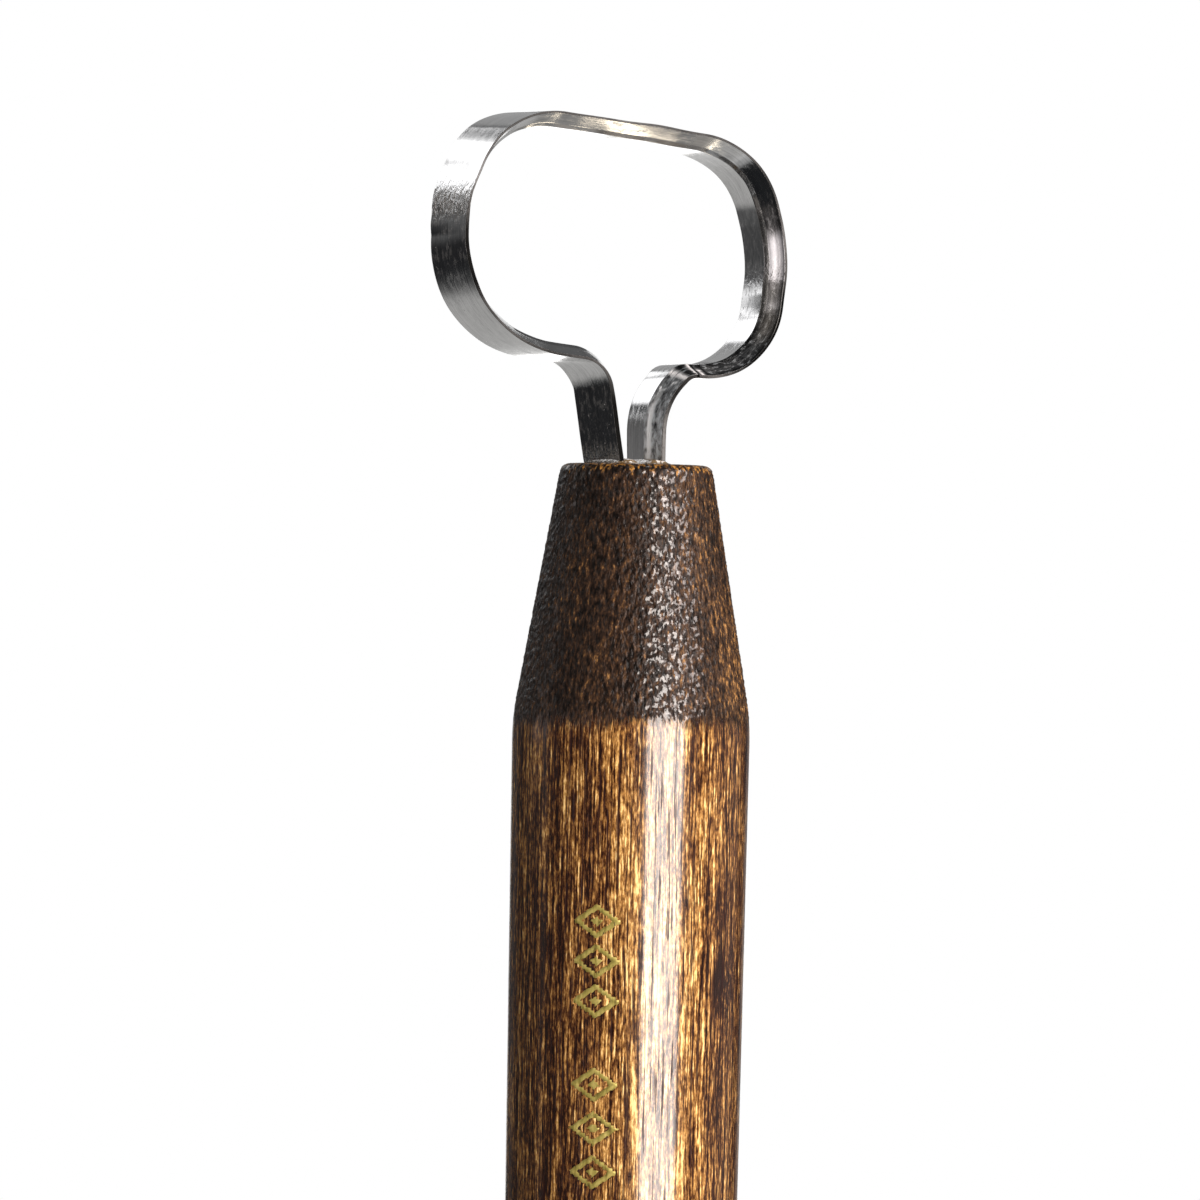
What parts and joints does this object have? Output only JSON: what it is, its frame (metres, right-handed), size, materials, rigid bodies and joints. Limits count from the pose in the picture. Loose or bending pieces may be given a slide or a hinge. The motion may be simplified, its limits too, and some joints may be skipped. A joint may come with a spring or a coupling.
{
  "type": "clay handle maker",
  "caption": "Hand tool for pulling clay handles: a bent steel ribbon loop with a bevelled edge, its tangs glued into the coned tip of a slim turned wooden handle.",
  "frame": {"origin": "The centre of the flat face on the handle's butt, where the handle's axis leaves it.", "axes": "+Z runs along the handle's axis from the butt to the loop; +X is across the loop, towards the lower of its two sides; -Y is the side that the loop's bevelled cutting edge faces."},
  "size_m": [0.0191, 0.0126, 0.1646],
  "materials": {
    "stained_wood": "dark stained hardwood under satin lacquer, darker and rougher on the cone",
    "ground_steel": "bright steel strip with fine lengthwise grinding lines",
    "clear_adhesive": "set resin, glossy"
  },
  "bodies": {
    "root": {"handle": "stained_wood", "ribbon_loop": "ground_steel", "adhesive": "clear_adhesive"}
  },
  "joints": []
}
